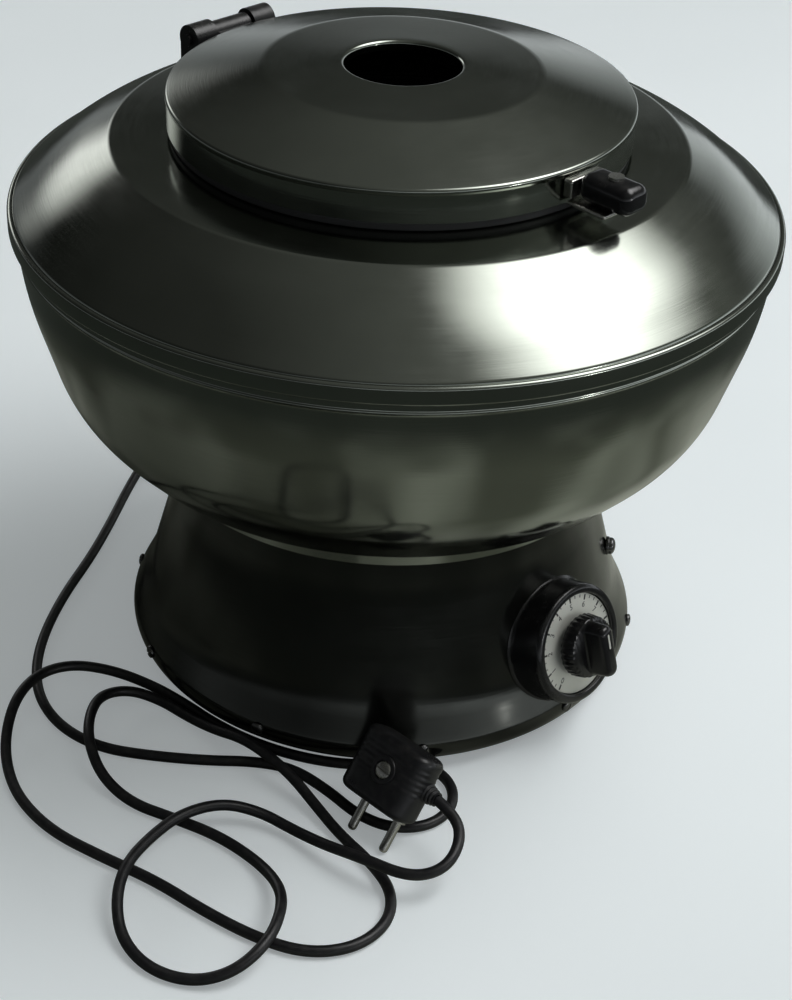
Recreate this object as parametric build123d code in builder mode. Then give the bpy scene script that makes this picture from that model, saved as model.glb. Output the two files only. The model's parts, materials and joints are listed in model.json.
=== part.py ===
"""Vibratory rock tumbler: steel bowl and hinged lid, sprung on a round base that holds the motor.

Frame: millimetres, +Z up, origin on the floor on the bowl's axis. The lid opens at the
back, +Y; its handle and the speed knob face the front, -Y.
"""
import os
from math import cos, pi, radians, sin, tan

from build123d import *

# ---- driving dimensions -------------------------------------------------------------
BOWL_R = 164.5          # bowl and cover at the seam
SEAM_Z = 227.0          # where the cover meets the bowl
BOWL_BOTTOM_Z = 117.0   # underside of the bowl
SHEET = 1.5             # pressed steel thickness
MOUTH_R = 94.0          # neck of the cover, outside
LEDGE_R = 123.0         # outer edge of the flat ledge round the neck
LEDGE_Z = 254.5
LID_R = 98.8            # lid skirt, outside
LID_SKIRT_Z = 260.0     # lower edge of the lid skirt
LID_TOP_Z = 286.4
LID_HOLE_R = 24.6
BASE_LIFT = 6.0         # floor to the base shell
BASE_R = 121.6          # construction radius of the base's foot
BASE_TOP_Z = 106.0
BASE_MOUTH_R = 90.0
HINGE_Y = 111.0         # lid hinge axis
HINGE_Z = 269.0
POST_R = 6.0            # threaded post in the middle of the bowl
GAP = 0.3               # clearance between neighbouring curved faces

PLATE_R = 86.0          # drive plate under the bowl
PLATE_Z = 106.0
PLATE_T = 5.0
SPRING_CIRCLE_R = 76.0
SPRING_R = 8.0          # coil centreline radius
SPRING_WIRE = 2.6
SPRING_TURNS = 6
SPRING_BOTTOM_Z = 72.0
SPRING_COUNT = 4
RING_T = 3.0            # spring ring in the base
MOTOR_R = 44.0
MOTOR_BOTTOM_Z = 46.0
MOTOR_TOP_Z = 82.0
CAP_T = 6.0             # motor end caps
SHAFT_R = 6.0
WEIGHT_R = 29.0
WEIGHT_T = 10.0
MOTOR_POST_CIRCLE_R = 38.0

POD_TURN = 1.0          # the knob pod's angle round the base, from the front
POD_TILT = 17.0         # how far the dial looks up
POD_R = 27.5
POD_FACE_R = 122.7      # middle of the pod's front rim, from the base's axis
POD_FACE_Z = 49.9
POD_LENGTH = 34.0       # from the front rim back into the base, before trimming
DIAL_R = 23.0
KNOB_R = 14.5
KNOB_LENGTH = 17.0

FOOT_CIRCLE_R = 82.0
FOOT_R = 12.0
CORD_D = 4.8
CORD_EXIT = (23.3, 138.0, 24.0)
FLOOR_REST = 2.6        # cord centreline height where it lies on the floor

Z_AXIS = Axis.Z
pieces = {}


# ---- helpers -------------------------------------------------------------------------
def parallel_points(points, gap):
    """The corners of a polyline moved to its left by gap, and the sign of each turn."""
    corners = [Vector(*point) for point in points]
    runs = [(after - before).normalized() for before, after in zip(corners, corners[1:])]
    moved, turns = [], []
    for index, corner in enumerate(corners):
        first = runs[max(index - 1, 0)]
        second = runs[min(index, len(runs) - 1)]
        middle = (first + second).normalized()
        moved.append(corner + Vector(-middle.Y, middle.X) * (gap / middle.dot(first)))
        turns.append(first.X * second.Y - first.Y * second.X)
    return [(point.X, point.Y) for point in moved], turns[1:-1]


def sheet_section(points, radii, thickness=SHEET):
    """Half section in the XZ plane of a pressed sheet: its outer face runs through points."""
    inside, turns = parallel_points(points, thickness)
    inner_radii = [
        radius - thickness if turn > 0 else radius + thickness for radius, turn in zip(radii, turns)
    ]
    with BuildSketch(Plane.XZ) as section:
        with BuildLine():
            FilletPolyline(*points, radius=radii)
            FilletPolyline(*inside, radius=inner_radii)
            Line(points[0], inside[0])
            Line(points[-1], inside[-1])
        make_face()
    return section.sketch


def ring_section(inner, outer, low, high):
    """Rectangular half section in the XZ plane."""
    with BuildSketch(Plane.XZ) as section:
        with Locations(((inner + outer) / 2, (low + high) / 2)):
            Rectangle(outer - inner, high - low)
    return section.sketch


def facing(angle, radius, height):
    """Plane with its normal pointing away from the axis at angle from the front, X level."""
    turn = radians(angle)
    outward = Vector(sin(turn), -cos(turn), 0)
    origin = Vector(outward.X * radius, outward.Y * radius, height)
    return Plane(origin=origin, x_dir=Vector(cos(turn), sin(turn), 0), z_dir=outward)


def screws_down(places, top, shank_r, length, head_r, head_t):
    """Screws with their heads on top of places at height top, shanks down."""
    with BuildPart() as screws:
        with BuildSketch(Plane.XY.offset(top)):
            with Locations(*places):
                Circle(head_r)
        extrude(amount=head_t)
        fillet(screws.faces().sort_by(Z_AXIS)[-len(places):].edges(), head_t * 0.6)
        with BuildSketch(Plane.XY.offset(top)):
            with Locations(*places):
                Circle(shank_r)
        extrude(amount=-length)
    return screws.part


def radial_screws(angles, radius, height, shank_r, length, head_r, head_t):
    """Screws driven towards the axis, heads outside."""
    with BuildPart() as screws:
        for angle in angles:
            with BuildSketch(facing(angle, radius, height)):
                Circle(head_r)
            extrude(amount=head_t)
            with BuildSketch(facing(angle, radius, height)):
                Circle(shank_r)
            extrude(amount=-length)
    return screws.part


def polar(radius, count, start=0.0):
    """Points evenly spaced round the axis."""
    step = 360 / count
    angles = [radians(start + index * step) for index in range(count)]
    return [(radius * cos(angle), radius * sin(angle)) for angle in angles]


# ---- bowl ----------------------------------------------------------------------------
bowl_points = [
    (POST_R + GAP, BOWL_BOTTOM_Z),
    (121.0, BOWL_BOTTOM_Z),
    (147.0, 145.0),
    (161.5, 194.0),
    (BOWL_R, SEAM_Z - 4),
]
bowl_radii = [30, 60, 150]
bowl_bolt_places = polar(60, 6, 30)

with BuildPart() as bowl:
    revolve(sheet_section(bowl_points, bowl_radii), axis=Z_AXIS)
    with BuildSketch(Plane.XY.offset(BOWL_BOTTOM_Z)):
        with Locations(*bowl_bolt_places):
            Circle(3.2)
    extrude(amount=SHEET, mode=Mode.SUBTRACT)
pieces["bowl"] = bowl

# Polyurethane lining that follows the bowl's wall, and a cone round the centre post.
LINER_T = 5.0
BOLT_HEAD_T = 2.6
liner_base, _ = parallel_points(bowl_points, SHEET + GAP)
liner_top = (
    liner_base[-2][0] * 0.25 + liner_base[-1][0] * 0.75,
    liner_base[-2][1] * 0.25 + liner_base[-1][1] * 0.75,
)
with BuildPart() as bowl_liner:
    wall = [(POST_R + 2, liner_base[0][1])] + liner_base[1:-1] + [liner_top]
    revolve(sheet_section(wall, [28.2, 58.2, 148.2], LINER_T), axis=Z_AXIS)
    with BuildSketch(Plane.XY.offset(BOWL_BOTTOM_Z)):
        with Locations(*bowl_bolt_places):
            Circle(5.2)
    extrude(amount=SHEET + BOLT_HEAD_T + GAP, mode=Mode.SUBTRACT)
pieces["bowl_liner"] = bowl_liner

hub_r, hub_top = 26.0, 178.0
floor_z = liner_base[0][1] + LINER_T
with BuildPart() as liner_cone:
    with BuildSketch(Plane.XZ):
        with BuildLine():
            Polyline((POST_R + 2, floor_z), (46, floor_z), (46, floor_z + 1), (hub_r, floor_z + 16))
            Polyline((hub_r, floor_z + 16), (16, hub_top), (POST_R + 2, hub_top))
            Line((POST_R + 2, hub_top), (POST_R + 2, floor_z))
        make_face()
    revolve(axis=Z_AXIS)
pieces["liner_cone"] = liner_cone

with BuildPart() as rim_band:
    revolve(ring_section(BOWL_R + 0.1, BOWL_R + 2.2, SEAM_Z - 8, SEAM_Z), axis=Z_AXIS)
    fillet(rim_band.edges().filter_by(GeomType.CIRCLE).group_by(SortBy.RADIUS)[-1], 1.4)
pieces["rim_band"] = rim_band

# ---- cover -----------------------------------------------------------------------------
cover_points = [
    (BOWL_R, SEAM_Z - 4 + 0.2),
    (BOWL_R, SEAM_Z + 0.4),
    (146.0, 242.6),
    (LEDGE_R, LEDGE_Z),
    (MOUTH_R, LEDGE_Z + 1.6),
    (MOUTH_R - 1.5, LEDGE_Z + 11),
    (MOUTH_R - 5.5, LEDGE_Z + 11.5),
]
with BuildPart() as upper_cover:
    revolve(sheet_section(cover_points, [2.5, 120, 5, 1.2, 1.8]), axis=Z_AXIS)
pieces["upper_cover"] = upper_cover

with BuildPart() as lid_gasket:
    revolve(ring_section(MOUTH_R + 1.2, LID_R - 1, LEDGE_Z + 1.7, LID_SKIRT_Z - 0.2), axis=Z_AXIS)
    fillet(lid_gasket.edges().filter_by(GeomType.CIRCLE).group_by(SortBy.RADIUS)[-1], 1.0)
pieces["lid_gasket"] = lid_gasket

# ---- lid -------------------------------------------------------------------------------
RIM_Z = LID_TOP_Z - 12.4
lid_points = [
    (LID_R, LID_SKIRT_Z),
    (LID_R, RIM_Z - 2.5),
    (LID_R + 1.0, RIM_Z),
    (58.8, LID_TOP_Z - 1.6),
    (LID_HOLE_R, LID_TOP_Z),
    (LID_HOLE_R, LID_TOP_Z - 4),
]
with BuildPart() as lid:
    revolve(sheet_section(lid_points, [1.5, 1.5, 14, 1.6], 1.2), axis=Z_AXIS)
pieces["lid"] = lid

# Hinge: a bracket with two thick knuckles stands on the ledge, the lid's strap turns between them.
KNUCKLE_R = 6.5
KNUCKLE_X = 17.0
KNUCKLE_W = 12.0
PIN_R = 2.5
STRAP_W = 20.0
STRAP_R = 5.0


def hinge_plane(x):
    """Plane across the hinge axis at x, with local X to the back and local Y up."""
    return Plane(origin=(x, HINGE_Y, HINGE_Z), x_dir=(0, 1, 0), z_dir=(1, 0, 0))


with BuildPart() as hinge_bracket:
    for side in (-1, 1):
        with BuildSketch(hinge_plane(side * KNUCKLE_X)) as knuckle:
            Circle(KNUCKLE_R)
            with Locations((0, -KNUCKLE_R)):
                Rectangle(2 * KNUCKLE_R - 1, 2 * KNUCKLE_R)
            Circle(PIN_R + 0.05, mode=Mode.SUBTRACT)
        extrude(amount=KNUCKLE_W / 2, both=True)
    with BuildSketch(Plane.XY.offset(LEDGE_Z + 1.4)):
        with Locations((0, HINGE_Y)):
            Rectangle(2 * KNUCKLE_X + KNUCKLE_W, 2 * KNUCKLE_R - 3)
    extrude(amount=3)
    with BuildSketch(Plane.XZ):
        with BuildLine():
            Polyline((0, 230), (LEDGE_R + 20, 230), (LEDGE_R + 20, 240), (LEDGE_R + 2, LEDGE_Z - 0.5))
            Polyline((LEDGE_R + 2, LEDGE_Z - 0.5), (LEDGE_R - 4, LEDGE_Z + 0.7), (0, LEDGE_Z + 4))
            Line((0, LEDGE_Z + 4), (0, 230))
        make_face()
    revolve(axis=Z_AXIS, mode=Mode.SUBTRACT)
pieces["hinge_bracket"] = hinge_bracket

with BuildPart() as hinge_pin:
    with BuildSketch(hinge_plane(0)):
        Circle(PIN_R)
    extrude(amount=KNUCKLE_X + KNUCKLE_W / 2 + 1.5, both=True)
pieces["hinge_pin"] = hinge_pin

with BuildPart() as hinge_strap:
    with BuildSketch(hinge_plane(0)):
        Circle(STRAP_R)
        with Locations((-(HINGE_Y - LID_R) / 2, -0.4)):
            Rectangle(HINGE_Y - LID_R + 4, 4.4)
        with Locations((LID_R + 1.7 - HINGE_Y, -2.4)):
            Rectangle(4, 9.4)
        Circle(PIN_R + 0.05, mode=Mode.SUBTRACT)
    extrude(amount=STRAP_W / 2, both=True)
    with BuildSketch(Plane.XY.offset(LID_SKIRT_Z - 5)):
        Circle(LID_R + 0.05)
    extrude(amount=30, mode=Mode.SUBTRACT)
pieces["hinge_strap"] = hinge_strap

HANDLE_Z = RIM_Z - 5.5
HANDLE_TIP = 129.0
with BuildPart() as handle_bracket:
    with BuildSketch(Plane.XY.offset(HANDLE_Z - 5)):
        with Locations((0, -LID_R - 1.5)):
            Rectangle(20, 6)
    extrude(amount=8)
    with BuildSketch(Plane.XY.offset(HANDLE_Z - 8.2)):
        with Locations((-1, -LID_R - 10)):
            Rectangle(16, 22)
    extrude(amount=1.8)
    with BuildSketch(Plane.XY.offset(HANDLE_Z - 8.2)):
        with Locations((-1, -LID_R - 1.5)):
            Rectangle(16, 5)
    extrude(amount=4)
    with BuildSketch(Plane.XY.offset(HANDLE_Z - 6)):
        Circle(LID_R + 0.05)
    extrude(amount=20, both=True, mode=Mode.SUBTRACT)
pieces["handle_bracket"] = handle_bracket

with BuildPart() as lid_handle:
    with BuildSketch(Plane.XZ.offset(LID_R + 4.5)):
        with Locations((0, HANDLE_Z)):
            RectangleRounded(15, 12, 5)
    extrude(amount=HANDLE_TIP - LID_R - 4.5)
    fillet(lid_handle.faces().sort_by(Axis.Y)[0].edges(), 4.5)
pieces["lid_handle"] = lid_handle

with BuildPart() as handle_screw:
    with BuildSketch(Plane.XY.offset(HANDLE_Z + 6)):
        with Locations((0, -LID_R - 18)):
            Circle(3.2)
    extrude(amount=1.2)
pieces["handle_screw"] = handle_screw

# ---- collar, drive plate and centre post ---------------------------------------------
with BuildPart() as bowl_collar:
    collar_points = [(88, BOWL_BOTTOM_Z), (107.0, BOWL_BOTTOM_Z), (107.0, BASE_TOP_Z - 0.5)]
    revolve(sheet_section(collar_points[::-1], [2.5], 1.2), axis=Z_AXIS)
pieces["bowl_collar"] = bowl_collar

with BuildPart() as drive_plate:
    with BuildSketch(Plane.XY.offset(PLATE_Z)):
        Circle(PLATE_R)
        Circle(SHAFT_R + 8, mode=Mode.SUBTRACT)
        with Locations(*bowl_bolt_places):
            Circle(3.2, mode=Mode.SUBTRACT)
    extrude(amount=PLATE_T)
    with BuildSketch(Plane.XY.offset(PLATE_Z + PLATE_T)):
        Circle(72)
        Circle(48, mode=Mode.SUBTRACT)
        with Locations(*bowl_bolt_places):
            Circle(3.2, mode=Mode.SUBTRACT)
    extrude(amount=BOWL_BOTTOM_Z - PLATE_Z - PLATE_T)
pieces["drive_plate"] = drive_plate

with BuildPart() as bowl_bolts:
    add(screws_down(bowl_bolt_places, BOWL_BOTTOM_Z + SHEET, 3.0, 18.0, 4.8, BOLT_HEAD_T))
pieces["bowl_bolts"] = bowl_bolts

with BuildPart() as centre_post:
    with BuildSketch(Plane.XY.offset(BOWL_BOTTOM_Z - 5.9)):
        Circle(20)
    extrude(amount=5.9)
    with BuildSketch(Plane.XY.offset(BOWL_BOTTOM_Z)):
        Circle(POST_R)
    extrude(amount=hub_top + 16 - BOWL_BOTTOM_Z)
pieces["centre_post"] = centre_post

with BuildPart() as post_nut:
    with BuildSketch(Plane.XY.offset(hub_top)):
        Circle(15)
        Circle(POST_R, mode=Mode.SUBTRACT)
    extrude(amount=2)
    with BuildSketch(Plane.XY.offset(hub_top + 2)):
        RegularPolygon(10, 6)
        Circle(POST_R, mode=Mode.SUBTRACT)
    extrude(amount=9)
pieces["post_nut"] = post_nut

# ---- springs ---------------------------------------------------------------------------
spring_places = polar(SPRING_CIRCLE_R, SPRING_COUNT, 45)
for index, place in enumerate(spring_places):
    low = SPRING_BOTTOM_Z + SPRING_WIRE / 2
    height = PLATE_Z - SPRING_BOTTOM_Z - SPRING_WIRE
    with BuildPart() as spring:
        with BuildLine():
            Helix(height / SPRING_TURNS, height, SPRING_R, center=(place[0], place[1], low))
        with BuildSketch(Plane(origin=(place[0] + SPRING_R, place[1], low), z_dir=(0, 1, 0))):
            Circle(SPRING_WIRE / 2)
        sweep()
    pieces[f"spring_{index + 1}"] = spring


def spring_guides(level, height):
    """Stub guides that hold the ends of the springs, standing on the plane at level."""
    with BuildPart() as guides:
        with BuildSketch(Plane.XY.offset(level)):
            with Locations(*spring_places):
                Circle(SPRING_R - SPRING_WIRE / 2 - 0.6)
        extrude(amount=height)
    return guides.part


with BuildPart() as spring_guides_lower:
    add(spring_guides(SPRING_BOTTOM_Z, 9))
pieces["spring_guides_lower"] = spring_guides_lower

with BuildPart() as spring_guides_upper:
    add(spring_guides(PLATE_Z, -9))
pieces["spring_guides_upper"] = spring_guides_upper

# ---- motor -----------------------------------------------------------------------------
post_places = polar(MOTOR_POST_CIRCLE_R, 4, 45)
with BuildPart() as motor_posts:
    with BuildSketch(Plane.XY.offset(MOTOR_TOP_Z + CAP_T)):
        with Locations(*post_places):
            Circle(4)
    extrude(amount=PLATE_Z - MOTOR_TOP_Z - CAP_T)
pieces["motor_posts"] = motor_posts

with BuildPart() as motor_housing:
    with BuildSketch(Plane.XY.offset(MOTOR_BOTTOM_Z)):
        Circle(MOTOR_R)
        Circle(MOTOR_R - 2.5, mode=Mode.SUBTRACT)
    extrude(amount=MOTOR_TOP_Z - MOTOR_BOTTOM_Z)
pieces["motor_housing"] = motor_housing

STATOR_BORE_R = 22.0
CORE_LOW = MOTOR_BOTTOM_Z + 8
CORE_HEIGHT = MOTOR_TOP_Z - MOTOR_BOTTOM_Z - 16
with BuildPart() as stator:
    with BuildSketch(Plane.XY.offset(CORE_LOW)):
        Circle(MOTOR_R - 2.6)
        Circle(STATOR_BORE_R, mode=Mode.SUBTRACT)
        with PolarLocations(30, 12):
            RectangleRounded(9, 5, 1.5, mode=Mode.SUBTRACT)
    extrude(amount=CORE_HEIGHT)
pieces["stator"] = stator

BEARING_R = 11.0
BEARING_T = 5.0
MOTOR_ENDS = (
    ("upper", MOTOR_TOP_Z, MOTOR_TOP_Z),
    ("lower", MOTOR_BOTTOM_Z - CAP_T, MOTOR_BOTTOM_Z - BEARING_T),
)
for end, cap_low, bearing_low in MOTOR_ENDS:
    with BuildPart() as motor_cap:
        with BuildSketch(Plane.XY.offset(cap_low)):
            Circle(MOTOR_R + 1)
            Circle(SHAFT_R + 1, mode=Mode.SUBTRACT)
            with PolarLocations(28, 8):
                Circle(4, mode=Mode.SUBTRACT)
        extrude(amount=CAP_T)
        with BuildSketch(Plane.XY.offset(bearing_low)):
            Circle(BEARING_R)
        extrude(amount=BEARING_T, mode=Mode.SUBTRACT)
    pieces[f"motor_cap_{end}"] = motor_cap

    with BuildPart() as bearing:
        with BuildSketch(Plane.XY.offset(bearing_low)):
            Circle(BEARING_R - 0.02)
            Circle(SHAFT_R + 0.05, mode=Mode.SUBTRACT)
        extrude(amount=BEARING_T)
    pieces[f"bearing_{end}"] = bearing

SHAFT_BOTTOM_Z = 20.0
with BuildPart() as motor_shaft:
    with BuildSketch(Plane.XY.offset(SHAFT_BOTTOM_Z)):
        Circle(SHAFT_R)
    extrude(amount=PLATE_Z - 3 - SHAFT_BOTTOM_Z)
pieces["motor_shaft"] = motor_shaft

with BuildPart() as rotor_core:
    with BuildSketch(Plane.XY.offset(CORE_LOW)):
        Circle(STATOR_BORE_R - 0.6)
        Circle(SHAFT_R, mode=Mode.SUBTRACT)
    extrude(amount=CORE_HEIGHT)
pieces["rotor_core"] = rotor_core

# Two eccentric weights, a quarter turn apart, each held by a set screw on its heavy side.
WEIGHTS = (
    ("upper_weight", MOTOR_TOP_Z + CAP_T + 2, 0.0),
    ("lower_weight", SHAFT_BOTTOM_Z + 5, 90.0),
)
WEIGHT_HUB_R = 12.0
SET_SCREW_R = 2.0
for name, low, turn in WEIGHTS:
    with BuildPart() as weight:
        with BuildSketch(Plane.XY.offset(low).rotated((0, 0, turn))):
            Circle(WEIGHT_R)
            with Locations((-WEIGHT_R / 2 - 4, 0)):
                Rectangle(WEIGHT_R + 8, 2 * WEIGHT_R, mode=Mode.SUBTRACT)
            Circle(WEIGHT_HUB_R)
            Circle(SHAFT_R, mode=Mode.SUBTRACT)
        extrude(amount=WEIGHT_T)
        with BuildSketch(facing(turn - 90, SHAFT_R, low + WEIGHT_T / 2)):
            Circle(SET_SCREW_R)
        extrude(amount=WEIGHT_R, mode=Mode.SUBTRACT)
    pieces[name] = weight

with BuildPart() as weight_screws:
    for name, low, turn in WEIGHTS:
        with BuildSketch(facing(turn - 90, SHAFT_R, low + WEIGHT_T / 2)):
            Circle(SET_SCREW_R)
        extrude(amount=5)
pieces["weight_screws"] = weight_screws

with BuildPart() as cooling_fan:
    with BuildSketch(Plane.XY.offset(SHAFT_BOTTOM_Z - 6)):
        Circle(14)
        with PolarLocations(22, 7):
            Rectangle(22, 2.4, rotation=25)
    extrude(amount=6)
pieces["cooling_fan"] = cooling_fan

# ---- base ------------------------------------------------------------------------------
base_points = [
    (97.0, BASE_LIFT),
    (BASE_R - 3.5, BASE_LIFT),
    (BASE_R, BASE_LIFT + 8),
    (BASE_R - 9, BASE_LIFT + 26),
    (98.6, BASE_TOP_Z - 24),
    (95.0, BASE_TOP_Z),
    (BASE_MOUTH_R, BASE_TOP_Z),
]
base_radii = [6, 9, 60, 90, 4]
RIM_SCREW_ANGLES = [36 * index for index in range(10)]
RIM_SCREW_Z = BASE_LIFT + 8.5
RIM_SCREW_R = 1.6
RIM_HEAD_R = 3.0
SIDE_SCREW_R = 2.0
SIDE_SCREW_ANGLES = [38, 128, 205]
SIDE_SCREW_Z = 54.0
SIDE_WALL_R = 107.8
RING_Z = SPRING_BOTTOM_Z - RING_T
cord_hole = Plane(origin=(CORD_EXIT[0], 90, CORD_EXIT[2]), x_dir=(-1, 0, 0), z_dir=(0, 1, 0))
pod_face = facing(POD_TURN, POD_FACE_R, POD_FACE_Z).rotated((-POD_TILT, 0, 0))
pod_base = pod_face.offset(-POD_LENGTH)


def base_envelope(clearance=0.05):
    """The solid that the base shell's outer face bounds, for trimming what stands on it."""
    with BuildPart() as envelope:
        with BuildSketch(Plane.XZ):
            with BuildLine():
                FilletPolyline(*base_points, radius=base_radii)
                Polyline(base_points[-1], (0, BASE_TOP_Z), (0, BASE_LIFT), base_points[0])
            make_face()
        revolve(axis=Z_AXIS)
        offset(amount=clearance)
    return envelope.part


with BuildPart() as base_housing:
    revolve(sheet_section(base_points, base_radii), axis=Z_AXIS)
    with BuildSketch(pod_base):
        Circle(POD_R - 8)
    extrude(amount=40, mode=Mode.SUBTRACT)
    with BuildSketch(cord_hole):
        Circle(6)
    extrude(amount=40, mode=Mode.SUBTRACT)
    for angle in SIDE_SCREW_ANGLES:
        with BuildSketch(facing(angle, SIDE_WALL_R - 8, SIDE_SCREW_Z)):
            Circle(SIDE_SCREW_R + 0.1)
        extrude(amount=20, mode=Mode.SUBTRACT)
    for angle in RIM_SCREW_ANGLES:
        with BuildSketch(facing(angle, BASE_R - 8, RIM_SCREW_Z)):
            Circle(RIM_SCREW_R + 0.1)
        extrude(amount=20, mode=Mode.SUBTRACT)
        with BuildSketch(facing(angle, BASE_R - 1.1, RIM_SCREW_Z)):
            Circle(RIM_HEAD_R + 0.2)
        extrude(amount=5, mode=Mode.SUBTRACT)
pieces["base_housing"] = base_housing

PLATE_BOTTOM_Z = BASE_LIFT + SHEET + 0.1
BASE_PLATE_T = 2.0
BASE_PLATE_TOP_Z = PLATE_BOTTOM_Z + BASE_PLATE_T
foot_places = polar(FOOT_CIRCLE_R, 4, 45)
with BuildPart() as base_plate:
    with BuildSketch(Plane.XY.offset(PLATE_BOTTOM_Z)):
        Circle(104)
        with PolarLocations(45, 12):
            SlotOverall(26, 5, mode=Mode.SUBTRACT)
        with Locations(*foot_places):
            Circle(2.6, mode=Mode.SUBTRACT)
    extrude(amount=BASE_PLATE_T)
pieces["base_plate"] = base_plate

with BuildPart() as feet:
    with BuildSketch(Plane.XY):
        with Locations(*foot_places):
            Circle(FOOT_R)
    extrude(amount=PLATE_BOTTOM_Z)
pieces["feet"] = feet

with BuildPart() as foot_nuts:
    with BuildSketch(Plane.XY.offset(BASE_PLATE_TOP_Z)):
        with Locations(*foot_places):
            RegularPolygon(5, 6)
    extrude(amount=4)
    with BuildSketch(Plane.XY.offset(PLATE_BOTTOM_Z)):
        with Locations(*foot_places):
            Circle(2.5)
    extrude(amount=9)
pieces["foot_nuts"] = foot_nuts

with BuildPart() as rim_screws:
    add(radial_screws(RIM_SCREW_ANGLES, BASE_R - 1.1, RIM_SCREW_Z, RIM_SCREW_R, 5.0, RIM_HEAD_R, 1.8))
pieces["rim_screws"] = rim_screws

with BuildPart() as side_screws:
    add(radial_screws(SIDE_SCREW_ANGLES, SIDE_WALL_R, SIDE_SCREW_Z, SIDE_SCREW_R, 16.0, 4.0, 3.2))
pieces["side_screws"] = side_screws

with BuildPart() as spring_ring:
    with BuildSketch(Plane.XY.offset(RING_Z)):
        Circle(98)
        Circle(60, mode=Mode.SUBTRACT)
    extrude(amount=RING_T)
    for angle in SIDE_SCREW_ANGLES:
        with BuildSketch(facing(angle, 93.0, (RING_Z + SIDE_SCREW_Z - 7) / 2)):
            Rectangle(14, RING_Z - SIDE_SCREW_Z + 7.2)
        extrude(amount=3)
        with BuildSketch(facing(angle, 90, SIDE_SCREW_Z)):
            Circle(SIDE_SCREW_R + 0.1)
        extrude(amount=8, mode=Mode.SUBTRACT)
pieces["spring_ring"] = spring_ring

# ---- speed control ---------------------------------------------------------------------
DIAL_DEPTH = 3.0
POD_FLOOR = 3.0
POD_WALL = 3.5
DIAL_T = 1.0
NUT_T = 2.2
POT_SHAFT_R = 3.0
BUSH_R = 4.5
dial_plane = pod_face.offset(-DIAL_DEPTH)
floor_back = dial_plane.offset(-POD_FLOOR)

with BuildPart() as knob_pod:
    with BuildSketch(pod_base):
        Circle(POD_R)
    extrude(amount=POD_LENGTH)
    fillet(knob_pod.faces().sort_by_distance(pod_face.origin)[0].edges(), 2.5)
    with BuildSketch(pod_face):
        Circle(DIAL_R + 0.3)
    extrude(amount=-DIAL_DEPTH, mode=Mode.SUBTRACT)
    with BuildSketch(floor_back):
        Circle(POD_R - POD_WALL)
    extrude(amount=-POD_LENGTH, mode=Mode.SUBTRACT)
    with BuildSketch(dial_plane):
        Circle(BUSH_R)
    extrude(amount=-POD_FLOOR, mode=Mode.SUBTRACT)
    add(base_envelope(), mode=Mode.SUBTRACT)
pieces["knob_pod"] = knob_pod

with BuildPart() as dial_plate:
    with BuildSketch(dial_plane):
        Circle(DIAL_R)
        Circle(BUSH_R, mode=Mode.SUBTRACT)
    extrude(amount=DIAL_T)
pieces["dial_plate"] = dial_plate

with BuildPart() as dial_nut:
    with BuildSketch(dial_plane.offset(DIAL_T)):
        RegularPolygon(7, 6)
        Circle(BUSH_R, mode=Mode.SUBTRACT)
    extrude(amount=NUT_T)
pieces["dial_nut"] = dial_nut

with BuildPart() as potentiometer:
    with BuildSketch(floor_back):
        Circle(12)
    extrude(amount=-12)
    with BuildSketch(floor_back):
        Circle(BUSH_R)
    extrude(amount=POD_FLOOR + DIAL_T + NUT_T)
    with BuildSketch(floor_back.offset(-6)):
        Circle(POT_SHAFT_R + 0.05)
    extrude(amount=30, mode=Mode.SUBTRACT)
pieces["potentiometer"] = potentiometer

KNOB_START = DIAL_T + NUT_T + 0.6
with BuildPart() as pot_shaft:
    with BuildSketch(floor_back.offset(-5.5)):
        Circle(POT_SHAFT_R)
    extrude(amount=5.5 + POD_FLOOR + KNOB_START + KNOB_LENGTH - 6)
pieces["pot_shaft"] = pot_shaft

with BuildPart() as knob:
    with BuildSketch(dial_plane.offset(KNOB_START)):
        Circle(KNOB_R)
    extrude(amount=7, taper=4)
    with BuildSketch(dial_plane.offset(KNOB_START + 7)):
        Circle(KNOB_R - 1.5)
        Rectangle(9.5, 2 * KNOB_R, mode=Mode.INTERSECT)
    extrude(amount=KNOB_LENGTH - 7, taper=3)
    with BuildSketch(dial_plane.offset(KNOB_START)):
        Circle(POT_SHAFT_R)
    extrude(amount=KNOB_LENGTH - 6, mode=Mode.SUBTRACT)
pieces["knob"] = knob

BOARD_X = -74.0
with BuildPart() as speed_board:
    with BuildSketch(Plane.YZ.offset(BOARD_X)):
        with Locations((0, 37)):
            Rectangle(60, 42)
    extrude(amount=1.6)
pieces["speed_board"] = speed_board

with BuildPart() as board_bracket:
    with BuildSketch(Plane.XY.offset(BASE_PLATE_TOP_Z)):
        with Locations((BOARD_X - 5, 0)):
            Rectangle(10, 40)
    extrude(amount=1.5)
    with BuildSketch(Plane.YZ.offset(BOARD_X)):
        with Locations((0, BASE_PLATE_TOP_Z + 9)):
            Rectangle(40, 18)
    extrude(amount=-1.5)
pieces["board_bracket"] = board_bracket

with BuildPart() as heat_sink:
    with BuildSketch(Plane.XY.offset(34)):
        with Locations((BOARD_X + 1.6 + 1, 0)):
            Rectangle(2, 26)
        with Locations((BOARD_X + 1.6 + 6, 0)):
            with GridLocations(0, 6, 1, 5):
                Rectangle(10, 1.6)
    extrude(amount=20)
pieces["heat_sink"] = heat_sink

with BuildPart() as terminal_block:
    with BuildSketch(Plane.XY.offset(BASE_PLATE_TOP_Z)):
        with Locations((CORD_EXIT[0], 84)):
            Rectangle(26, 14)
    extrude(amount=12)
pieces["terminal_block"] = terminal_block


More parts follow.
